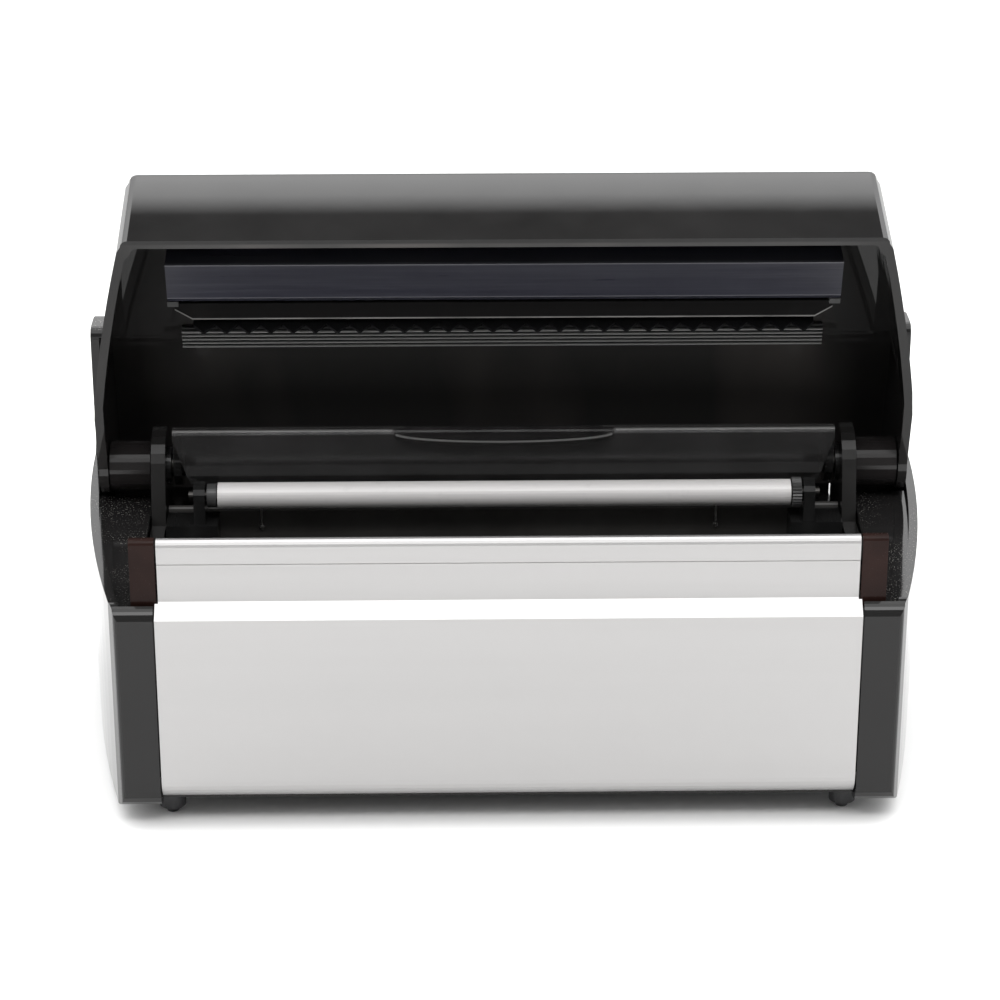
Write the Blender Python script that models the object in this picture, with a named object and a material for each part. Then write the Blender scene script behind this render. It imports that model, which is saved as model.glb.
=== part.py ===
"""Desk-top film dispenser with a lift-up cutter lid, modelled as an assembly.

Frame: metres, +X to the right, +Y to the back, +Z up.  The origin is at the middle of the footprint, at the
level of the feet.  Sizes below are in millimetres.  "Depth" is the distance behind the front face.  The lid's
parts are laid out in the lid's closed place and then turned open about the lid hinge.
"""

import math

import bmesh
import bpy
from mathutils import Matrix, Vector

MM = 0.001

# ---------------------------------------------------------------- driving dimensions (mm)
BODY_DEPTH = 104.0          # front face to back wall
FRONT_HALF_WIDTH = 84.0     # half width across the front corners
SIDE_ARC_RADIUS = 372.0     # plan radius of the bowed sides
SIDE_ARC_DEPTH = 96.0       # depth at which the bowed sides are widest
WALL = 2.0                  # moulded wall
GAP = 0.3                   # gap between touching pieces

BASE_BOTTOM = 5.0           # underside of the base above the table
RIM_HEIGHT = 53.3           # top of the base's side rim, where the lid's cheeks land
LEDGE_DROP = 2.0            # how far the shelf inside the rim lies below it
PANEL_HALF_WIDTH = 75.0
PANEL_STEP = 3.4            # how far the upright strip stands behind the lower face
PANEL_SKIN = 1.5
RISER_HALF_WIDTH = 74.3     # the upright strip is a little shorter than the lower face
PANEL_TOP = 67.5            # top edge of the front panel's upright strip
POSTS = (74.7, 80.1)        # inner and outer face of the posts beside that strip
END_PLATE = (77.0, 80.2)    # inner and outer face of the tub's end plates
REAR_TOP = 83.5             # top of the rear cover
REAR_FRONT = 90.0           # depth of the rear cover's front edge

HINGE = (66.0, 59.1)        # depth and height of the lid hinge and flap pivot axis
LID_OPEN = 74.0             # degrees that the lid is open, as modelled
LID_SIDE_LIMIT = 92.2       # the lid's cheeks go no wider than this
LID_STEP = 0.9              # the lid's sides stand this far inside the base's
LID_FRONT = 0.5
LID_BOTTOM = 53.8
LID_TOP = 81.6
LID_REAR = 89.0
LID_ROUND = 2.2             # rounding where the lid's top meets its front and sides
LID_WALL = 2.0
PIN_RADIUS = 2.5
BORE_CLEARANCE = 0.3

ROLLER = (54.0, 56.5)       # depth and height of the roller axis
ROLLER_RADIUS = 2.95
ROLLER_HALF_LENGTH = 64.9
FLAP_HALF_WIDTH = 75.3
GUARD_FACE = 61.1           # height of the guard bar's pressing face, lid closed
GUARD_DEPTHS = (11.9, 20.7)
GUARD_TRAVEL = 4.0
GUARD_HALF_WIDTH = 74.6
BLADE_DEPTH = 30.0
BLADE_HALF_LENGTH = 69.6
TOOTH_PITCH = 4.97
TOOTH_HEIGHT = 3.0
RIB_HALF_LENGTH = 73.7
ARC_STEPS = 6

COLOURS = {
    "gloss_black": ((0.012, 0.012, 0.013), 0.08, 0.0),
    "satin_black": ((0.02, 0.02, 0.022), 0.35, 0.0),
    "anodised_silver": ((0.72, 0.72, 0.71), 0.38, 1.0),
    "polished_steel": ((0.62, 0.62, 0.61), 0.2, 1.0),
    "guard_black": ((0.022, 0.024, 0.034), 0.3, 0.0),
    "smoked_clear": ((0.03, 0.03, 0.032), 0.1, 0.0),
    "rubber": ((0.015, 0.015, 0.015), 0.7, 0.0),
}

for stale in list(bpy.data.objects):
    bpy.data.objects.remove(stale, do_unlink=True)

PARTS = bpy.data.collections.new("film_dispenser")
CUTTERS = bpy.data.collections.new("cutters")
bpy.context.scene.collection.children.link(PARTS)
bpy.context.scene.collection.children.link(CUTTERS)


# ---------------------------------------------------------------- helpers
def y_of(depth):
    return depth - BODY_DEPTH / 2


def point(x, depth, z):
    return Vector((x * MM, y_of(depth) * MM, z * MM))


def material(slot):
    found = bpy.data.materials.get(slot)
    if found:
        return found
    colour, roughness, metallic = COLOURS[slot]
    made = bpy.data.materials.new(slot)
    made.use_nodes = True
    shader = made.node_tree.nodes["Principled BSDF"]
    shader.inputs["Base Color"].default_value = (*colour, 1.0)
    shader.inputs["Roughness"].default_value = roughness
    shader.inputs["Metallic"].default_value = metallic
    return made


def smooth_round_faces(mesh, angle=30.0):
    mesh.shade_smooth()
    mesh.set_sharp_from_angle(angle=math.radians(angle))


def add_object(name, bm, slot=None):
    """Turn a bmesh into a named part, or into a cutter when it has no slot."""
    bmesh.ops.recalc_face_normals(bm, faces=bm.faces)
    mesh = bpy.data.meshes.new(name)
    bm.to_mesh(mesh)
    bm.free()
    made = bpy.data.objects.new(name, mesh)
    if slot:
        PARTS.objects.link(made)
        mesh.materials.append(material(slot))
        smooth_round_faces(mesh)
    else:
        CUTTERS.objects.link(made)
        made.hide_render = True
        made.display_type = "WIRE"
    return made


def extruded(outline, offset):
    """A closed prism: the outline's 3-D points, swept by a vector."""
    bm = bmesh.new()
    base = bm.faces.new([bm.verts.new(p) for p in outline])
    swept = bmesh.ops.extrude_face_region(bm, geom=[base])
    moved = [g for g in swept["geom"] if isinstance(g, bmesh.types.BMVert)]
    bmesh.ops.translate(bm, vec=offset, verts=moved)
    return bm


def side_prism(name, profile, x_low, x_high, slot=None):
    """A (depth, height) outline swept along X."""
    outline = [point(x_low, depth, z) for depth, z in profile]
    return add_object(name, extruded(outline, Vector(((x_high - x_low) * MM, 0, 0))), slot)


def plan_prism(name, plan, z_low, z_high, slot=None):
    """An (x, depth) outline swept along Z."""
    outline = [point(x, depth, z_low) for x, depth in plan]
    return add_object(name, extruded(outline, Vector((0, 0, (z_high - z_low) * MM))), slot)


def box(name, x, depth, z, slot=None):
    """A block between the given (low, high) pairs."""
    bm = bmesh.new()
    bmesh.ops.create_cube(bm, size=1.0)
    size = ((x[1] - x[0]) * MM, (depth[1] - depth[0]) * MM, (z[1] - z[0]) * MM)
    middle = point((x[0] + x[1]) / 2, (depth[0] + depth[1]) / 2, (z[0] + z[1]) / 2)
    bmesh.ops.scale(bm, vec=size, verts=bm.verts)
    bmesh.ops.translate(bm, vec=middle, verts=bm.verts)
    return add_object(name, bm, slot)


def lofted(name, rings, slot=None):
    """A closed body through rings of 3-D points that all have the same number of points."""
    bm = bmesh.new()
    loops = [[bm.verts.new(p) for p in ring] for ring in rings]
    for low, high in zip(loops, loops[1:]):
        for i in range(len(low)):
            j = (i + 1) % len(low)
            bm.faces.new((low[i], low[j], high[j], high[i]))
    bm.faces.new(loops[0][::-1])
    bm.faces.new(loops[-1])
    return add_object(name, bm, slot)


def cross_rod(name, radius, x_low, x_high, axis, slot=None, segments=32):
    """A round bar along X at (depth, height)."""
    bm = bmesh.new()
    turn = Matrix.Rotation(math.pi / 2, 4, "Y")
    place = Matrix.Translation(point((x_low + x_high) / 2, *axis))
    bmesh.ops.create_cone(bm, cap_ends=True, segments=segments, radius1=radius * MM, radius2=radius * MM,
                          depth=(x_high - x_low) * MM, matrix=place @ turn)
    return add_object(name, bm, slot)


def upright_rod(name, radius, x, depth, z, slot=None, segments=24, top_radius=None):
    """A round bar or taper along Z."""
    bm = bmesh.new()
    place = Matrix.Translation(point(x, depth, (z[0] + z[1]) / 2))
    top = radius if top_radius is None else top_radius
    bmesh.ops.create_cone(bm, cap_ends=True, segments=segments, radius1=radius * MM, radius2=top * MM,
                          depth=(z[1] - z[0]) * MM, matrix=place)
    return add_object(name, bm, slot)


def boolean(target, cutter, operation="DIFFERENCE"):
    """Cut, join or intersect, and bake the result into the target's mesh."""
    step = target.modifiers.new(cutter.name, "BOOLEAN")
    step.operation = operation
    step.object = cutter
    step.solver = "EXACT"
    graph = bpy.context.evaluated_depsgraph_get()
    graph.update()
    result = bpy.data.meshes.new_from_object(target.evaluated_get(graph))
    target.modifiers.clear()
    old = target.data
    target.data = result
    result.name = target.name
    bpy.data.meshes.remove(old)
    bpy.data.objects.remove(cutter, do_unlink=True)
    smooth_round_faces(result)
    return target


def corner(centre, radius, start, end, steps=ARC_STEPS):
    """Points of a round corner, angles in degrees."""
    angles = [math.radians(start + (end - start) * i / steps) for i in range(steps + 1)]
    return [(centre[0] + radius * math.cos(a), centre[1] + radius * math.sin(a)) for a in angles]


def half_width(depth):
    """The bowed side's distance from the middle plane."""
    widest = FRONT_HALF_WIDTH + SIDE_ARC_DEPTH ** 2 / (2 * SIDE_ARC_RADIUS)
    return widest - (depth - SIDE_ARC_DEPTH) ** 2 / (2 * SIDE_ARC_RADIUS)


def side_points(first, last, inset=0.0, limit=1000.0, steps=12):
    """Plan points (x, depth) along the bowed side, going no wider than the limit."""
    points = []
    for i in range(steps + 1):
        depth = first + (last - first) * i / steps
        points.append((min(half_width(depth) - inset, limit), depth))
    return points


def mirrored(points, side):
    """The same outline on the right (side 1) or on the left (side -1)."""
    return [(x * side, other) for x, other in points]


def offset_strip(line, thickness):
    """A bent strip: the line, then its offset to the left of its direction, as one closed outline."""
    offsets = []
    for i, here in enumerate(line):
        before = Vector(here) - Vector(line[i - 1]) if i else None
        after = Vector(line[i + 1]) - Vector(here) if i < len(line) - 1 else None
        before = (before or after).normalized()
        after = (after or before).normalized()
        normal = (Vector((-before.y, before.x)) + Vector((-after.y, after.x))).normalized()
        reach = thickness / max(0.4, normal.dot(Vector((-before.y, before.x))))
        offsets.append((here[0] + normal.x * reach, here[1] + normal.y * reach))
    return list(line) + offsets[::-1]


def span(side, inner, outer):
    """An (x low, x high) pair on the given side."""
    return (inner, outer) if side > 0 else (-outer, -inner)


SIDES = (("left", -1), ("right", 1))


# ---------------------------------------------------------------- base
def build_tub():
    floor_end = BODY_DEPTH - WALL - 0.5
    tub = box("tub", (-END_PLATE[1], END_PLATE[1]), (6.5, floor_end), (BASE_BOTTOM, BASE_BOTTOM + 1.7),
              "satin_black")
    for _, side in SIDES:
        plate = [(6.5, BASE_BOTTOM), (floor_end, BASE_BOTTOM), (floor_end, 36.0), (77.0, 36.0)]
        plate += corner(HINGE, 9.15, -30, 170, 14)
        plate += [(54.0, 49.0), (17.0, 49.0), (16.0, 61.8), (9.0, 61.8), (6.5, 58.0)]
        low, high = span(side, *END_PLATE)
        boolean(tub, side_prism("plate", plate, low, high), "UNION")
        stop = [(9.0, 61.8), (9.0, 56.0), (14.0, 50.0), (16.0, 50.0), (16.0, 61.8)]
        low, high = span(side, 66.6, END_PLATE[0] + 0.5)
        boolean(tub, side_prism("stop", stop, low, high), "UNION")
        low, high = span(side, END_PLATE[0] - 1, END_PLATE[1] + 1)
        boolean(tub, cross_rod("bush_hole", 4.5, low, high, HINGE))
    for depth in (14.0, 44.0):
        rib = [(depth - 2.5, BASE_BOTTOM + 1), (depth + 2.5, BASE_BOTTOM + 1), (depth, BASE_BOTTOM + 7)]
        boolean(tub, side_prism("cradle_rib", rib, -62.0, 62.0), "UNION")
    return tub


def build_cross_wall():
    wall = [(59.0, BASE_BOTTOM + WALL + GAP), (61.0, BASE_BOTTOM + WALL + GAP), (61.0, 48.0)]
    wall += corner((60.0, 50.5), 1.0, 0, 180, 6) + [(59.0, 48.0)]
    side_prism("cross_wall", wall, -END_PLATE[0] + GAP, END_PLATE[0] - GAP, "gloss_black")


def end_cap_side_profile():
    """The outer outline of an end cap, seen from the side."""
    profile = corner((4.5, BASE_BOTTOM + 4.5), 4.5, 180, 270, 5)
    profile += corner((BODY_DEPTH - 4, BASE_BOTTOM + 4), 4.0, 270, 360, 5)
    profile += corner((BODY_DEPTH - 5, REAR_TOP - 5), 5.0, 0, 90, 6)
    profile += corner((REAR_FRONT + 2.5, REAR_TOP - 2.5), 2.5, 90, 180, 5)
    profile += [(REAR_FRONT, RIM_HEIGHT + 2), (REAR_FRONT - 2, RIM_HEIGHT)]
    profile += corner((3.6, RIM_HEIGHT - 3.6), 3.6, 90, 180, 8)
    return profile


def build_end_cap(name, side):
    inner_face = END_PLATE[1] + GAP
    plan = [(75.3, 0.0)] + corner((FRONT_HALF_WIDTH - 1.6, 1.6), 1.6, -90, 0, 5)
    plan += side_points(4.0, 96.0)
    plan += corner((half_width(97.0) - 5, BODY_DEPTH - 5), 5.0, 0, 90, 6)
    plan += [(inner_face, BODY_DEPTH), (inner_face, 6.0), (75.3, 6.0)]
    cap = plan_prism(name, mirrored(plan, side), 0.0, 90.0, "gloss_black")
    low, high = span(side, 60.0, 110.0)
    boolean(cap, side_prism("outline", end_cap_side_profile(), low, high), "INTERSECT")

    ledge = RIM_HEIGHT - LEDGE_DROP
    inner = side_points(2.2, BODY_DEPTH - WALL, WALL)
    inner = [(60.0, 2.2)] + inner + [(60.0, BODY_DEPTH - WALL)]
    boolean(cap, plan_prism("lower_room", mirrored(inner, side), BASE_BOTTOM + WALL, ledge - WALL))
    shelf = [(60.0, 2.2)] + side_points(2.2, 67.0, WALL) + [(60.0, 67.0)]
    boolean(cap, plan_prism("shelf_recess", mirrored(shelf, side), ledge, 90.0))
    rear = [(60.0, 66.5)] + side_points(66.5, BODY_DEPTH - WALL, WALL) + [(60.0, BODY_DEPTH - WALL)]
    boolean(cap, plan_prism("swing_room", mirrored(rear, side), BASE_BOTTOM + WALL + 1, REAR_TOP - WALL))

    return cap


def build_corner_post(label, side):
    """An upright that stands on the end cap's shelf and closes the gap beside the front panel."""
    low, high = span(side, *POSTS)
    foot = RIM_HEIGHT - LEDGE_DROP + GAP
    post = [(PANEL_STEP, foot), (6.1, foot), (6.1, PANEL_TOP - 1)]
    post += corner((5.1, PANEL_TOP - 1), 1.0, 0, 90, 3)
    post += corner((PANEL_STEP + 1, PANEL_TOP - 1), 1.0, 90, 180, 3)
    side_prism(f"corner_post_{label}", post, low, high, "satin_black")


def build_front_panel():
    """One bent strip: curved under at the bottom, a sloping step, and a hem along the top."""
    bend, hem, strip = 5.0, 1.5, PANEL_STEP - 0.2
    low = BASE_BOTTOM + 2.0
    outline = [(9.2, low)] + corner((bend, low + bend), bend, 270, 180, 8)
    outline += [(0.0, 50.5), (PANEL_STEP, 53.5), (PANEL_STEP, 61.9), (strip, 62.2)]
    outline += corner((strip + hem, PANEL_TOP - hem), hem, 180, 0, 8)
    outline += [(strip + 2 * hem, 61.5), (PANEL_STEP + PANEL_SKIN, 61.0), (PANEL_STEP + PANEL_SKIN, 52.9)]
    outline += [(PANEL_SKIN, 49.8)] + corner((bend, low + bend), bend - PANEL_SKIN, 180, 270, 8)
    outline += [(9.2, low + PANEL_SKIN)]
    panel = side_prism("front_panel", outline, -PANEL_HALF_WIDTH, PANEL_HALF_WIDTH, "anodised_silver")
    for _, side in SIDES:
        low, high = span(side, RISER_HALF_WIDTH, PANEL_HALF_WIDTH + 1)
        boolean(panel, box("notch", (low, high), (PANEL_STEP - 0.35, 12.0), (49.4, PANEL_TOP + 1)))


def build_rear_cover():
    skin = [(BODY_DEPTH, BASE_BOTTOM + 3)] + corner((BODY_DEPTH - 5, REAR_TOP - 5), 5.0, 0, 90, 6)
    skin += [(REAR_FRONT + 2, REAR_TOP)]
    side_prism("rear_cover", offset_strip(skin, WALL), -END_PLATE[1], END_PLATE[1], "gloss_black")


def build_hinge_hardware(label, side):
    low, high = span(side, END_PLATE[0] - 0.9, END_PLATE[1] + 0.1)
    bush = cross_rod(f"hinge_bush_{label}", 4.2, low, high, HINGE, "satin_black")
    boolean(bush, cross_rod("bore", PIN_RADIUS + BORE_CLEARANCE, low - 1, high + 1, HINGE))
    low, high = span(side, 73.1, 89.2)
    cross_rod(f"hinge_pin_{label}", PIN_RADIUS, low, high, HINGE, "polished_steel")


def build_roller_bracket(label, side):
    cheek = [(50.6, 46.0), (57.4, 46.0)] + corner(ROLLER, 3.4, 0, 180, 8)
    low, high = span(side, 67.7, 70.3)
    bracket = side_prism(f"roller_bracket_{label}", cheek, low, high, "satin_black")
    low, high = span(side, 65.0, END_PLATE[0] - GAP)
    boolean(bracket, box("block", (low, high), (50.1, 58.5), (44.0, 50.6)), "UNION")
    low, high = span(side, 67.0, 71.0)
    boolean(bracket, cross_rod("bore", 1.3 + BORE_CLEARANCE, low, high, ROLLER))
    return bracket


def build_brake(label, x):
    strip = offset_strip([(58.6, 47.6), (58.6, 52.5), (57.9, 54.5), (57.9, 56.5)], 0.35)
    side_prism(f"brake_spring_{label}", strip, x - 0.25, x + 0.25, "polished_steel")
    bm = bmesh.new()
    turn = Matrix.Rotation(math.pi / 2, 4, "X")
    bmesh.ops.create_cone(bm, cap_ends=True, segments=16, radius1=0.65 * MM, radius2=0.4 * MM, depth=0.6 * MM,
                          matrix=Matrix.Translation(point(x, 58.35, 46.6)) @ turn)
    add_object(f"brake_screw_{label}", bm, "polished_steel")


def build_foot(name, x, depth):
    foot = upright_rod(name, 1.3, x, depth, (0.0, 1.8), "rubber", top_radius=2.0)
    flange = upright_rod("flange", 2.9, x, depth, (1.5, BASE_BOTTOM - GAP))
    boolean(foot, flange, "UNION")


def build_base():
    build_tub()
    build_cross_wall()
    build_front_panel()
    build_rear_cover()
    for label, side in SIDES:
        build_end_cap(f"end_cap_{label}", side)
        build_corner_post(label, side)
        build_hinge_hardware(label, side)
        build_roller_bracket(label, side)
        for place, depth in (("front", 10.2), ("rear", 92.0)):
            build_foot(f"foot_{place}_{label}", 73.8 * side, depth)
    build_brake("left", -55.5)
    build_brake("right", 48.6)


# ---------------------------------------------------------------- roller and flap
def build_roller():
    tube = cross_rod("roller_tube", ROLLER_RADIUS, -ROLLER_HALF_LENGTH, ROLLER_HALF_LENGTH, ROLLER, "polished_steel")
    boolean(tube, cross_rod("bore", 1.6, -70, 70, ROLLER))
    cross_rod("roller_shaft", 1.3, -71.5, 71.5, ROLLER, "polished_steel", 24)

    teeth = 28
    rim = []
    for i in range(teeth * 2):
        angle = math.pi * i / teeth
        radius = 3.4 if i % 2 else 3.15
        rim.append(point(65.2, ROLLER[0] + radius * math.cos(angle), ROLLER[1] + radius * math.sin(angle)))
    wheel = add_object("knurled_wheel", extruded(rim, Vector((2.1 * MM, 0, 0))), "satin_black")
    boolean(wheel, cross_rod("bore", 1.6, 60, 70, ROLLER))
    collar = cross_rod("roller_collar", 2.7, -67.3, -65.2, ROLLER, "satin_black")
    boolean(collar, cross_rod("bore", 1.6, -70, -60, ROLLER))


def build_flap():
    skin = [(62.4, 69.8), (61.0, 70.0), (60.3, 69.6), (59.7, 68.9), (59.1, 67.0), (58.5, 64.8), (57.9, 62.2)]
    skin += [(57.0, 60.0), (57.7, 57.8)]
    flap = side_prism("flap", offset_strip(skin, 1.3), -FLAP_HALF_WIDTH, FLAP_HALF_WIDTH, "smoked_clear")
    for _, side in SIDES:
        cheek = [(62.2, 69.3), (60.6, 69.3), (58.6, 63.2), (60.4, 58.6)] + corner(HINGE, 4.6, 210, 400, 8)
        low, high = span(side, FLAP_HALF_WIDTH - 1.8, FLAP_HALF_WIDTH)
        boolean(flap, side_prism("cheek", cheek, low, high), "UNION")
        slant = [(FLAP_HALF_WIDTH + 0.3, 68.6), (70.9, 57.0), (77.0, 57.0), (77.0, 68.6)]
        outline = [point(x * side, 52.0, z) for x, z in slant]
        boolean(flap, add_object("slant", extruded(outline, Vector((0, 7.8 * MM, 0)))))
        boolean(flap, cross_rod("bore", PIN_RADIUS + BORE_CLEARANCE, low - 1, high + 1, HINGE))
    tab = []
    for i in range(17):
        angle = math.pi * i / 16
        tab.append((-25.0 * math.cos(angle), 59.8 - 5.4 * math.sin(angle)))
    tab += [(22.0, 61.2), (0.0, 62.6), (-22.0, 61.2)]
    boolean(flap, plan_prism("tab", tab, 68.0, 69.2), "UNION")


# ---------------------------------------------------------------- lid and cutter
def lid_side_profile(inset):
    """The lid's outline seen from the side, closed, pulled in by the inset on its front and top."""
    if inset:
        front, top, radius = LID_FRONT + inset, LID_TOP - inset, 1.2
        profile = [(front, LID_BOTTOM - 10)] + corner((front + radius, top - radius), radius, 180, 90, 4)
        return profile + [(LID_REAR + 10, top), (LID_REAR + 10, LID_BOTTOM - 10)]
    profile = [(LID_FRONT - 5, LID_BOTTOM), (LID_FRONT - 5, LID_TOP + 5)]
    profile += [(LID_REAR, LID_TOP + 5), (LID_REAR, 66.0), (77.0, 62.0)]
    profile += corner(HINGE, 6.2, 0, -120, 8)
    return profile + [(56.0, LID_BOTTOM)]


def lid_plan(inset, last):
    """Half of the lid's plan outline as (x, depth), from the front middle round to the back."""
    radius = 1.6
    first = LID_FRONT + inset
    front_x = FRONT_HALF_WIDTH - LID_STEP - inset
    points = [(0.0, first)] + corner((front_x - radius, first + radius), radius, -90, 0, 4)
    points += side_points(first + 3.0, last, LID_STEP + inset, LID_SIDE_LIMIT - inset, 14)
    return points + [(0.0, last)]


def mirror_plan(half):
    """Close a half outline that starts and ends on the middle plane."""
    return half + [(-x, depth) for x, depth in half[::-1] if x > 0]


def build_lid_shell():
    levels = [(0.0, 40.0), (0.0, LID_TOP - LID_ROUND)]
    for i in range(1, 6):
        angle = math.pi / 2 * i / 5
        levels.append((LID_ROUND * (1 - math.cos(angle)), LID_TOP - LID_ROUND * (1 - math.sin(angle))))
    rings = [[point(x, depth, z) for x, depth in mirror_plan(lid_plan(inset, LID_REAR + 5))] for inset, z in levels]
    shell = lofted("lid_shell", rings, "gloss_black")
    boolean(shell, side_prism("outline", lid_side_profile(0.0), -110.0, 110.0), "INTERSECT")
    room = plan_prism("room", mirror_plan(lid_plan(LID_WALL, LID_REAR + 10)), 30.0, 95.0)
    boolean(room, side_prism("outline", lid_side_profile(LID_WALL), -110.0, 110.0), "INTERSECT")
    boolean(shell, room)
    low = PANEL_TOP + 1.0
    boolean(shell, plan_prism("front_rib", mirror_plan(lid_plan(1.0, 9.5)), low, low + 1.5), "UNION")
    parts = [shell]
    for label, side in SIDES:
        low, high = span(side, END_PLATE[1] + 0.5, LID_SIDE_LIMIT - LID_WALL - GAP)
        barrel = cross_rod(f"lid_barrel_{label}", 5.8, low, high, HINGE, "gloss_black", 40)
        boolean(barrel, cross_rod("bore", PIN_RADIUS + BORE_CLEARANCE, low - 1, high + 1, HINGE))
        parts.append(barrel)
    return parts


def build_blade():
    """A flat strip with sharp teeth along its lower edge."""
    tip = GUARD_FACE
    count = int(BLADE_HALF_LENGTH * 2 / TOOTH_PITCH)
    start = -count * TOOTH_PITCH / 2
    edge = [(start, tip + TOOTH_HEIGHT)]
    for i in range(count):
        edge.append((start + (i + 0.5) * TOOTH_PITCH, tip))
        edge.append((start + (i + 1) * TOOTH_PITCH, tip + TOOTH_HEIGHT))
    edge += [(-start, tip + 9.0), (start, tip + 9.0)]
    outline = [point(x, BLADE_DEPTH, z) for x, z in edge]
    return add_object("blade", extruded(outline, Vector((0, 0.6 * MM, 0))), "polished_steel")


def build_cutter():
    """Blade, its carrier, the ribbed strip and the guard's guides, all fixed in the lid."""
    roof = LID_TOP - LID_WALL - GAP
    plan = [(-73.4, 24.2), (73.4, 24.2), (73.4, 26.0), (69.6, 28.6), (-69.6, 28.6), (-73.4, 26.0)]
    carrier = plan_prism("blade_carrier", plan, 64.1, 65.6, "satin_black")
    boolean(carrier, box("web", (-69.0, 69.0), (25.4, 27.4), (65.0, roof)), "UNION")
    clamp = box("blade_clamp", (-69.0, 69.0), (27.7, BLADE_DEPTH - GAP), (66.0, 70.0), "satin_black")

    low = roof - 1.0
    ribs = [(41.0, roof), (41.0, low)]
    for i in range(5):
        depth = 41.5 + i
        ribs += [(depth, low), (depth + 0.2, low - 0.9), (depth + 0.5, low - 0.9), (depth + 0.7, low)]
    ribs += [(46.5, low), (46.5, roof)]
    strip = side_prism("ribbed_strip", ribs, -RIB_HALF_LENGTH, RIB_HALF_LENGTH, "rubber")

    parts = [carrier, build_blade(), clamp, strip]
    for label, side in SIDES:
        low, high = span(side, 72.4, 74.8)
        parts.append(box(f"guard_guide_{label}", (low, high), (22.6, 23.9), (62.4, roof), "satin_black"))
        pin_foot = GUARD_FACE + 1.5 + GUARD_TRAVEL + 0.3
        parts.append(upright_rod(f"guard_pin_{label}", 1.4, 50.0 * side, 16.3, (pin_foot, roof), "polished_steel"))
    return parts


def build_guard():
    front, rear = GUARD_DEPTHS
    face = GUARD_FACE
    channel = [(front, face), (rear, face), (rear + 1.4, face + 1.0), (rear + 1.4, face + 2.2), (rear, face + 2.2),
               (rear, face + 5.0), (rear - 1.3, face + 5.0), (rear - 1.3, face + 1.5), (front + 1.3, face + 1.5),
               (front + 1.3, face + 6.5), (front, face + 6.5)]
    guard = side_prism("guard_bar", channel, -GUARD_HALF_WIDTH, GUARD_HALF_WIDTH, "guard_black")
    for _, side in SIDES:
        boolean(guard, upright_rod("boss", 2.8, 50.0 * side, 16.3, (face + 1.0, face + 7.5)), "UNION")
        boolean(guard, upright_rod("bore", 1.7, 50.0 * side, 16.3, (face + 1.5, face + 9.0)))
    return [guard]


def open_lid(parts):
    """Turn the lid's parts about the hinge, by parenting them to an empty on its axis."""
    hinge = bpy.data.objects.new("lid_hinge", None)
    PARTS.objects.link(hinge)
    axis = point(0.0, *HINGE)
    hinge.location = axis
    hinge.rotation_euler = (math.radians(-LID_OPEN), 0.0, 0.0)
    for part in parts:
        part.parent = hinge
        part.matrix_parent_inverse = Matrix.Translation(-axis)


build_base()
build_roller()
build_flap()
open_lid(build_lid_shell() + build_cutter() + build_guard())
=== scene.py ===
"""Looks, light and camera for the film dispenser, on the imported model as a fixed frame.

Everything is in metres, in the row frame: +X right, +Y back, +Z up, the floor at z = 0.
Only the masks that follow the mouldings are in millimetres.
"""

import math

import bmesh
import bpy
from mathutils import Matrix, Vector

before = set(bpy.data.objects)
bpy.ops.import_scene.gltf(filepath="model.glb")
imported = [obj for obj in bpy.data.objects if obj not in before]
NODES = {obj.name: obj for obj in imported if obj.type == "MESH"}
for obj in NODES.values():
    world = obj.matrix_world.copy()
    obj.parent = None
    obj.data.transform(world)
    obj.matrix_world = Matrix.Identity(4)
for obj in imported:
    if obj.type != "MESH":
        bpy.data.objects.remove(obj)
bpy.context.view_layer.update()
MM = 0.001


def middle(name):
    """The middle of a node's bounding box."""
    corners = [NODES[name].matrix_world @ Vector(c) for c in NODES[name].bound_box]
    return sum(corners, Vector()) / 8


# a point on the hinge axis, and the lid's own directions as it stands open at rest
HINGE = middle("hinge_pin_left")
HINGE.x = 0.0
LID_OPEN = math.radians(74.0)
LID_BACK = (0.0, math.cos(LID_OPEN), -math.sin(LID_OPEN))       # towards the lid's hinge, along its roof
LID_UP = (0.0, math.sin(LID_OPEN), math.cos(LID_OPEN))          # square to its roof
# the hinge in the closed lid's millimetres: depth from the front of the body, height from the floor
HINGE_DEPTH, HINGE_HEIGHT = 66.0, 59.1


# ---------------------------------------------------------------- material building
def shaded(colour, by):
    """The colour made darker or paler by a factor."""
    return tuple(c * by for c in colour)


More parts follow.
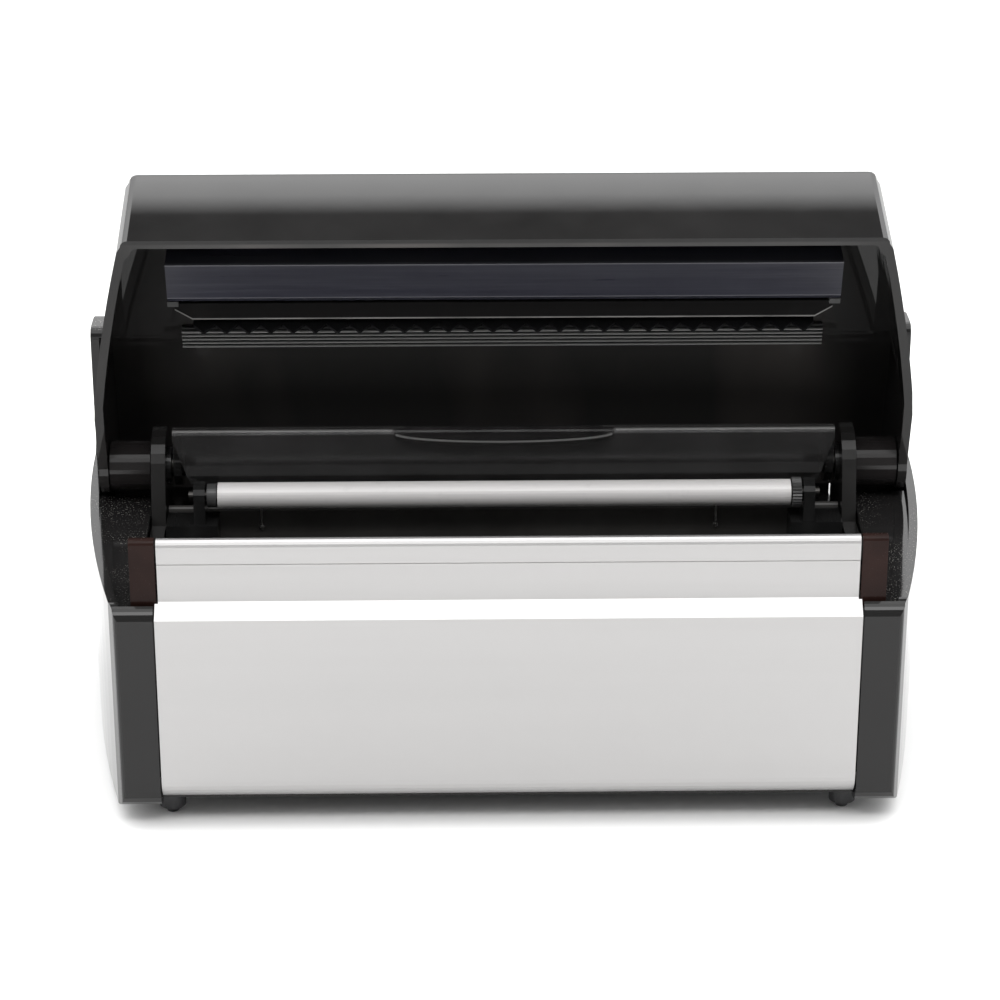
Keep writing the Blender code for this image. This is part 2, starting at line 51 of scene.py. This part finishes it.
class Look:
    """A Principled material with short calls for the nodes that vary it over the surface."""

    def __init__(self, name, colour, roughness, metallic=0.0):
        self.material = bpy.data.materials.new(name)
        self.material.use_nodes = True
        self.tree = self.material.node_tree
        self.shader = self.tree.nodes["Principled BSDF"]
        self.set("Base Color", (*colour, 1.0))
        self.set("Roughness", roughness)
        self.set("Metallic", metallic)
        self.place = self.node("ShaderNodeTexCoord").outputs["Object"]

    def node(self, kind, **settings):
        made = self.tree.nodes.new(kind)
        for key, value in settings.items():
            setattr(made, key, value)
        return made

    def set(self, socket, value):
        """Give one of the shader's inputs a fixed value."""
        self.shader.inputs[socket].default_value = value

    def feed(self, socket, source):
        """Link one of the shader's inputs to a varying value."""
        self.join(source, self.shader.inputs[socket])

    def join(self, source, target):
        self.tree.links.new(source, target)

    def noise(self, scale, detail=2.0, roughness=0.5, stretch=None):
        """Noise between 0 and 1, optionally with a scale for each axis."""
        place = self.place
        if stretch:
            mapping = self.node("ShaderNodeMapping")
            mapping.inputs["Scale"].default_value = stretch
            self.join(place, mapping.inputs["Vector"])
            place = mapping.outputs["Vector"]
        made = self.node("ShaderNodeTexNoise")
        made.inputs["Scale"].default_value = scale
        made.inputs["Detail"].default_value = detail
        made.inputs["Roughness"].default_value = roughness
        self.join(place, made.inputs["Vector"])
        return made.outputs["Fac"]

    def map(self, value, from_low, from_high, to_low, to_high):
        made = self.node("ShaderNodeMapRange")
        made.inputs["From Min"].default_value = from_low
        made.inputs["From Max"].default_value = from_high
        made.inputs["To Min"].default_value = to_low
        made.inputs["To Max"].default_value = to_high
        self.join(value, made.inputs["Value"])
        return made.outputs["Result"]

    def rise(self, value, low, high):
        """0 up to the low limit, 1 from the high limit on."""
        return self.map(value, low, high, 0.0, 1.0)

    def fall(self, value, low, high):
        """1 up to the low limit, 0 from the high limit on."""
        return self.map(value, low, high, 1.0, 0.0)

    def between(self, value, low, high, soft=0.08):
        """1 where the value lies between two limits, with soft borders."""
        return self.times(self.rise(value, low - soft, low + soft), self.fall(value, high - soft, high + soft))

    def maths(self, operation, first, second=0.0):
        made = self.node("ShaderNodeMath", operation=operation)
        for socket, value in zip(made.inputs, (first, second)):
            if isinstance(value, (int, float)):
                socket.default_value = value
            else:
                self.join(value, socket)
        return made.outputs["Value"]

    def times(self, product, *factors):
        for factor in factors:
            product = self.maths("MULTIPLY", product, factor)
        return product

    def mix(self, factor, first, second):
        """From the first colour at 0 to the second at 1."""
        made = self.node("ShaderNodeMix", data_type="RGBA")
        self.join(factor, made.inputs["Factor"])
        for socket, value in ((made.inputs["A"], first), (made.inputs["B"], second)):
            if isinstance(value, tuple):
                socket.default_value = (*value, 1.0)
            else:
                self.join(value, socket)
        return made.outputs["Result"]

    def bump(self, height, strength, distance):
        made = self.node("ShaderNodeBump")
        made.inputs["Strength"].default_value = strength
        made.inputs["Distance"].default_value = distance
        self.join(height, made.inputs["Height"])
        self.feed("Normal", made.outputs["Normal"])

    def along(self, direction, start=0.0):
        """Millimetres along a direction, counted from the hinge axis plus a start value."""
        shift = self.node("ShaderNodeVectorMath", operation="SUBTRACT")
        self.join(self.place, shift.inputs[0])
        shift.inputs[1].default_value = HINGE
        dot = self.node("ShaderNodeVectorMath", operation="DOT_PRODUCT")
        self.join(shift.outputs["Vector"], dot.inputs[0])
        dot.inputs[1].default_value = direction
        return self.maths("ADD", self.times(dot.outputs["Value"], 1000.0), start)

    def from_middle(self):
        """Millimetres to either side of the middle of the length."""
        return self.maths("ABSOLUTE", self.along((1, 0, 0)))

    def lid_depth(self):
        return self.along(LID_BACK, HINGE_DEPTH)

    def lid_height(self):
        return self.along(LID_UP, HINGE_HEIGHT)

    def facing_up(self):
        """1 where the surface faces up, 0 elsewhere."""
        split = self.node("ShaderNodeSeparateXYZ")
        self.join(self.node("ShaderNodeNewGeometry").outputs["Normal"], split.inputs["Vector"])
        return self.rise(split.outputs["Z"], 0.8, 0.98)


def varied(look, base, scale=55.0, spread=0.25):
    """The base colour with slow, slight changes over the surface."""
    slow = look.rise(look.noise(scale, 3.0, 0.55), 0.3, 0.7)
    return look.mix(slow, shaded(base, 1.0 - spread), shaded(base, 1.0 + spread))


def hazy(look, roughness, haze, scale=60.0):
    """The roughness with hazy handling marks."""
    return look.map(look.noise(scale, 4.0, 0.6), 0.35, 0.75, roughness, roughness + haze)


# ---------------------------------------------------------------- mouldings
def gloss_black(name, base=(0.0125, 0.012, 0.012), roughness=0.05, haze=0.03, wave=0.006):
    """Polished black moulding with a faint waviness and hazy handling marks."""
    look = Look(name, base, roughness)
    look.set("IOR", 1.37)
    look.feed("Base Color", varied(look, base))
    look.feed("Roughness", hazy(look, roughness, haze))
    look.bump(look.noise(140.0, 2.0), wave, 0.0008)
    return look


def cap_black(name):
    """Polished black end caps with fine dust in patches on their shelves."""
    base = (0.0105, 0.0102, 0.0102)
    look = gloss_black(name, base)
    speck = look.rise(look.noise(3000.0, 1.0), 0.66, 0.73)
    patch = look.map(look.noise(60.0, 3.0), 0.42, 0.62, 0.08, 1.0)
    dust = look.times(speck, patch, look.facing_up())
    look.feed("Base Color", look.mix(dust, base, (0.3, 0.285, 0.26)))
    look.feed("Roughness", look.maths("ADD", hazy(look, 0.05, 0.03), look.times(dust, 0.4)))
    return look


def lid_black(name):
    """Polished black lid; its inside is painted a lighter grey as painted light, with faint cloudy patches of
    painted reflection.
    """
    base = (0.0115, 0.0111, 0.011)
    look = gloss_black(name, base, 0.012, 0.006, 0.0006)
    under_roof = look.fall(look.lid_height(), 80.4, 80.8)
    behind_front = look.rise(look.lid_depth(), 1.3, 1.7)
    towards_middle = look.map(look.from_middle(), 68.0, 84.0, 1.0, 0.15)
    # painted light: under the roof and behind the front, fading towards the ends, the inside is coloured
    # lighter grey with cloudy painted reflections
    inside = look.times(under_roof, behind_front, towards_middle)
    reflection_patches = look.rise(look.noise(1.0, 2.0, 0.5, (32.0, 14.0, 14.0)), 0.44, 0.62)
    painted_light_grey = look.mix(reflection_patches, (0.036, 0.035, 0.0345), (0.06, 0.055, 0.053))
    look.feed("Base Color", look.mix(inside, varied(look, base), painted_light_grey))
    return look


def carrier_black(name):
    """Polished black carrier with a painted highlight along its lower edge and the two corner cuts."""
    base = (0.01, 0.0098, 0.0098)
    look = gloss_black(name, base, 0.12)
    depth = look.lid_depth()
    # painted highlight: the plate's lower edge and its two corner cuts are coloured pale grey, made uneven by
    # noise
    lower_edge = look.between(depth, 28.25, 28.7)
    # along a corner cut the depth falls by 0.684 mm for each millimetre away from the middle
    corner_cuts = look.between(look.maths("ADD", depth, look.times(look.from_middle(), 0.684)), 75.85, 76.3)
    wear_and_highlight = look.maths("MAXIMUM", lower_edge, corner_cuts)
    plate = look.fall(look.lid_height(), 65.3, 65.9)
    rub_and_highlight = look.map(look.noise(90.0, 3.0), 0.3, 0.6, 0.55, 1.0)
    look.feed("Base Color", look.mix(look.times(wear_and_highlight, plate, rub_and_highlight), base, (0.24, 0.235, 0.23)))
    return look


def satin_black(name, base=(0.014, 0.0138, 0.014), roughness=0.3, ior=1.45):
    """Spark-textured black moulding."""
    look = Look(name, base, roughness)
    look.set("IOR", ior)
    grain = look.noise(2600.0, 2.0)
    look.feed("Base Color", varied(look, base, 70.0, 0.35))
    look.feed("Roughness", look.map(grain, 0.3, 0.7, roughness - 0.06, roughness + 0.08))
    look.bump(grain, 0.1, 0.0002)
    return look


def smoked(name):
    """Smoked clear moulding, thin enough to see shapes through, with painted highlights along its top edge and
    the thumb tab's edge.
    """
    base = (0.02, 0.0195, 0.0195)
    look = Look(name, base, 0.07)
    look.set("IOR", 1.42)
    look.set("Alpha", 0.66)
    look.feed("Roughness", hazy(look, 0.05, 0.07, 90.0))
    # the tab's front edge is half an ellipse, 25 mm to each side and 5.4 mm to the front
    x = look.times(look.along((1, 0, 0)), 1 / 25.0)
    y = look.times(look.along((0, 1, 0), HINGE_DEPTH - 59.8), 1 / 5.4)
    reach = look.maths("ADD", look.times(x, x), look.times(y, y))
    height = look.along((0, 0, 1), HINGE_HEIGHT)
    # painted highlights: the thumb tab's front edge and the flap's top edge are coloured pale grey
    tab_edge = look.times(look.between(reach, 0.94, 1.1, 0.02), look.between(y, -1.2, -0.12, 0.02),
                          look.between(height, 68.75, 69.3, 0.1))
    top_edge = look.times(look.rise(reach, 1.0, 1.05), look.between(height, 69.35, 69.75, 0.1))
    edges = look.maths("MAXIMUM", tab_edge, top_edge)
    look.feed("Base Color", look.mix(edges, varied(look, base, 90.0, 0.3), (0.2, 0.198, 0.195)))
    look.bump(look.noise(120.0, 2.0), 0.015, 0.0006)
    return look


def rubber(name):
    """Matt black rubber with a fine grain."""
    base = (0.018, 0.018, 0.019)
    look = Look(name, base, 0.6)
    grain = look.noise(1800.0, 3.0)
    look.feed("Base Color", look.mix(grain, base, shaded(base, 1.8)))
    look.feed("Roughness", look.map(grain, 0.3, 0.7, 0.5, 0.7))
    look.bump(grain, 0.15, 0.0002)
    return look


def rib_rubber(name):
    """Soft strip of black rubber, with a painted highlight making the crests of its ribs grey."""
    foot = (0.015, 0.015, 0.015)
    look = Look(name, foot, 0.5)
    # painted highlight: the crests of the ribs are coloured grey
    crest_highlight = look.fall(look.lid_height(), 77.5, 77.9)
    grain = look.noise(1600.0, 3.0)
    rub_and_highlight = look.mix(grain, (0.27, 0.27, 0.265), (0.36, 0.36, 0.355))
    look.feed("Base Color", look.mix(crest_highlight, foot, rub_and_highlight))
    look.feed("Roughness", look.map(grain, 0.3, 0.7, 0.42, 0.56))
    return look


# ---------------------------------------------------------------- metals
def anodised(name):
    """Satin anodised sheet with fine drawing lines along its length."""
    base = (0.44, 0.434, 0.432)
    look = Look(name, base, 0.4, 1.0)
    lines = look.noise(1.0, 3.0, 0.6, (10.0, 2400.0, 2400.0))
    broad = look.noise(1.0, 2.0, 0.5, (4.0, 120.0, 120.0))
    lined = look.mix(look.rise(lines, 0.3, 0.7), shaded(base, 0.97), base)
    look.feed("Base Color", look.mix(look.map(broad, 0.35, 0.7, 0.0, 0.35), lined, shaded(base, 0.95)))
    look.feed("Roughness", look.map(lines, 0.3, 0.7, 0.36, 0.46))
    look.bump(lines, 0.05, 0.0001)
    return look


def steel(name, base=(0.78, 0.78, 0.77), roughness=0.2, stretch=(30.0, 3000.0, 3000.0), metallic=1.0):
    """Drawn steel with fine lines and a few darker stains."""
    look = Look(name, base, roughness, metallic)
    lines = look.noise(1.0, 3.0, 0.6, stretch)
    stain = look.map(look.noise(240.0, 4.0, 0.65), 0.58, 0.75, 0.0, 0.35)
    look.feed("Base Color", look.mix(stain, base, shaded(base, 0.75)))
    look.feed("Roughness", look.map(lines, 0.3, 0.7, roughness - 0.05, roughness + 0.09))
    look.bump(lines, 0.06, 0.0001)
    return look


def guard_blue_black(name):
    """Blue-black drawn bar with faint paler patches of wear, and a painted highlight along its long edges."""
    base = (0.02, 0.02, 0.03)
    look = Look(name, base, 0.32)
    lines = look.noise(1.0, 4.0, 0.65, (25.0, 1800.0, 1800.0))
    rub_and_highlight = look.map(look.noise(50.0, 4.0, 0.6), 0.4, 0.75, 0.0, 0.5)
    wear_and_highlight = look.mix(rub_and_highlight, base, (0.03, 0.031, 0.044))
    lined = look.mix(look.map(lines, 0.45, 0.75, 0.0, 0.35), wear_and_highlight, (0.045, 0.048, 0.062))
    depth = look.lid_depth()
    # painted highlight: the two long edges of the bar's face are coloured paler
    long_edge_highlight = look.maths("MAXIMUM", look.between(depth, 11.8, 12.15), look.between(depth, 20.55, 20.85))
    face = look.fall(look.lid_height(), 61.3, 62.2)
    look.feed("Base Color", look.mix(look.times(long_edge_highlight, face), lined, (0.12, 0.12, 0.135)))
    look.feed("Roughness", look.map(lines, 0.3, 0.7, 0.27, 0.4))
    look.bump(lines, 0.05, 0.0001)
    return look


# ---------------------------------------------------------------- dressing the CAD nodes
def dress(nodes, look, bevel=None):
    """Give nodes a look, and soften their hard edges by a bevel in millimetres."""
    for name in nodes:
        piece = NODES[name]
        for slot in piece.material_slots:
            slot.material = look.material
        if bevel:
            soften = piece.modifiers.new("soft_edges", "BEVEL")
            soften.width = bevel * MM
            soften.segments = 3
            soften.limit_method = "ANGLE"
            soften.angle_limit = math.radians(38)
            flat = piece.modifiers.new("flat_faces", "WEIGHTED_NORMAL")
            flat.keep_sharp = True


def pair(stem):
    return [f"{stem}_left", f"{stem}_right"]


# base
dress(pair("end_cap"), cap_black("cap_gloss_black"), 0.35)
dress(pair("corner_post"), satin_black("post_brown_black", (0.018, 0.0085, 0.007), 0.2, 1.2), 0.35)
dress(["rear_cover"], gloss_black("moulding_gloss_black"), 0.35)
dress(["tub"], gloss_black("tub_black", (0.014, 0.0135, 0.0132), 0.2), 0.3)
dress(["cross_wall"], gloss_black("wall_black", (0.05, 0.048, 0.046), 0.2), 0.3)
dress(["front_panel"], anodised("panel_anodised_silver"), 0.25)
dress(pair("roller_bracket"), gloss_black("bracket_gloss_black", (0.009, 0.009, 0.009), 0.12), 0.25)
dress(pair("foot_front") + pair("foot_rear"), rubber("foot_rubber"), 0.3)

# lid, guard bar and flap
dress(["lid_shell"], lid_black("lid_gloss_black"), 0.3)
dress(pair("lid_barrel"), gloss_black("barrel_black", (0.013, 0.0115, 0.0115), 0.14), 0.3)
dress(["blade_carrier"], carrier_black("carrier_gloss_black"), 0.2)
# painted shade: the blade's steel is coloured near black for the dark it lies in
dress(["blade"], steel("blade_steel_painted_shade", (0.03, 0.03, 0.032), 0.5, (3000.0, 30.0, 3000.0)))
dress(["ribbed_strip"], rib_rubber("rib_rubber"), 0.06)
dress(["guard_bar"], guard_blue_black("guard_blue_black"), 0.25)
dress(["flap"], smoked("flap_smoked_clear"), 0.3)

# roller, and the small pieces that share a look
dress(["roller_tube"], steel("roller_satin_white", (0.62, 0.605, 0.6), 0.42, metallic=0.1), 0.2)
dress(pair("hinge_bush") + ["blade_clamp"], satin_black("moulding_satin_black"), 0.25)
dress(pair("guard_guide") + ["knurled_wheel", "roller_collar"],
      satin_black("moulding_grey", (0.05, 0.05, 0.05), 0.38), 0.15)
dress(pair("hinge_pin") + ["roller_shaft"], steel("blackened_steel", (0.05, 0.048, 0.046), 0.34), 0.15)
BRIGHT_STEEL = steel("drawn_steel")
dress(pair("guard_pin"), BRIGHT_STEEL, 0.15)
dress(pair("brake_spring") + pair("brake_screw"), BRIGHT_STEEL)


# ---------------------------------------------------------------- floor, light and camera
def build_floor():
    """White paper, far wider than the view."""
    grid = bmesh.new()
    bmesh.ops.create_grid(grid, x_segments=2, y_segments=2, size=30.0)
    mesh = bpy.data.meshes.new("floor")
    grid.to_mesh(mesh)
    grid.free()
    floor = bpy.data.objects.new("floor", mesh)
    bpy.context.scene.collection.objects.link(floor)
    paper = (0.9, 0.9, 0.9)
    look = Look("floor_paper", paper, 0.9)
    look.set("Specular IOR Level", 0.1)
    look.feed("Base Color", look.mix(look.noise(3.0, 2.0), paper, (0.91, 0.91, 0.905)))
    mesh.materials.append(look.material)


def build_world():
    """A studio seen by direction: white back wall, dark band over it, a soft ceiling and a dim front."""
    world = bpy.data.worlds.new("studio")
    bpy.context.scene.world = world
    world.use_nodes = True
    tree = world.node_tree
    background = tree.nodes["Background"]

    def maths(operation, *values):
        made = tree.nodes.new("ShaderNodeMath")
        made.operation = operation
        for value, socket in zip(values, made.inputs):
            tree.links.new(value, socket)
        return made.outputs["Value"]

    def ramp(position, stops):
        made = tree.nodes.new("ShaderNodeValToRGB")
        while len(made.color_ramp.elements) < len(stops):
            made.color_ramp.elements.new(0.5)
        for element, (at, value) in zip(made.color_ramp.elements, stops):
            element.position = at
            element.color = (value, value, value, 1.0)
        tree.links.new(position, made.inputs["Fac"])
        return made.outputs["Color"]

    split = tree.nodes.new("ShaderNodeSeparateXYZ")
    tree.links.new(tree.nodes.new("ShaderNodeTexCoord").outputs["Generated"], split.inputs["Vector"])
    y, z = split.outputs["Y"], split.outputs["Z"]
    # the studio's bands run along X, so the elevation is measured square to that
    rise = maths("DIVIDE", z, maths("SQRT", maths("ADD", maths("MULTIPLY", y, y), maths("MULTIPLY", z, z))))
    # each stop is (sine of the elevation, brightness)
    back = ramp(rise, [(0.0, 1.35), (0.3, 1.85), (0.42, 2.1), (0.6, 2.4), (0.73, 4.0), (0.752, 5.6),
                       (0.7608, 3.0), (0.7615, 0.25), (0.86, 0.3), (0.93, 1.6), (1.0, 2.2)])
    front = ramp(rise, [(0.0, 0.5), (0.1, 0.36), (0.6, 0.36), (0.78, 1.5), (1.0, 2.2)])
    front_to_back = tree.nodes.new("ShaderNodeMapRange")
    front_to_back.inputs["From Min"].default_value = -0.35
    front_to_back.inputs["From Max"].default_value = -0.05
    tree.links.new(y, front_to_back.inputs["Value"])
    mix = tree.nodes.new("ShaderNodeMix")
    mix.data_type = "RGBA"
    tree.links.new(front_to_back.outputs["Result"], mix.inputs["Factor"])
    tree.links.new(front, mix.inputs["A"])
    tree.links.new(back, mix.inputs["B"])
    tree.links.new(mix.outputs["Result"], background.inputs["Color"])
    background.inputs["Strength"].default_value = 0.92


def add_light(name, at, towards, size, power):
    """A rectangular light that the camera doesn't see."""
    light = bpy.data.lights.new(name, "AREA")
    light.shape = "RECTANGLE"
    light.size, light.size_y = size
    light.energy = power
    lamp = bpy.data.objects.new(name, light)
    lamp.location = at
    lamp.rotation_euler = (Vector(towards) - Vector(at)).to_track_quat("-Z", "Y").to_euler()
    lamp.visible_camera = False
    bpy.context.scene.collection.objects.link(lamp)


def build_camera():
    """A long lens from the front and above, turned by pitch, yaw and roll about its target."""
    pitch, yaw, roll = (math.radians(a) for a in (23.0, 1.02, 0.03))
    target, distance = Vector((-0.0012, -0.0083, 0.0593)), 0.68
    away = Vector((-math.sin(yaw) * math.cos(pitch), -math.cos(yaw) * math.cos(pitch), math.sin(pitch)))
    right = (-away).cross(Vector((0, 0, 1))).normalized()
    up = right.cross(-away)
    across = right * math.cos(roll) + up * math.sin(roll)
    upright = up * math.cos(roll) - right * math.sin(roll)
    turned = Matrix((across, upright, away)).transposed().to_4x4()
    camera = bpy.data.cameras.new("camera")
    camera.sensor_width = 36.0
    camera.lens = 36.0 * 3.043
    camera.clip_start, camera.clip_end = 0.01, 100.0
    camera.dof.use_dof = False
    holder = bpy.data.objects.new("camera", camera)
    holder.matrix_world = Matrix.Translation(target + away * distance) @ turned
    bpy.context.scene.collection.objects.link(holder)
    bpy.context.scene.camera = holder


build_floor()
build_world()
add_light("front_softbox", at=(0.0, -0.79, 1.12), towards=(0.0, 0.0, 0.08), size=(1.5, 0.28), power=6.6)
add_light("ceiling", at=(0.0, 0.0, 1.6), towards=(0.0, 0.0, 0.0), size=(2.0, 1.4), power=9.0)
build_camera()
bpy.context.scene.view_settings.view_transform = "Standard"
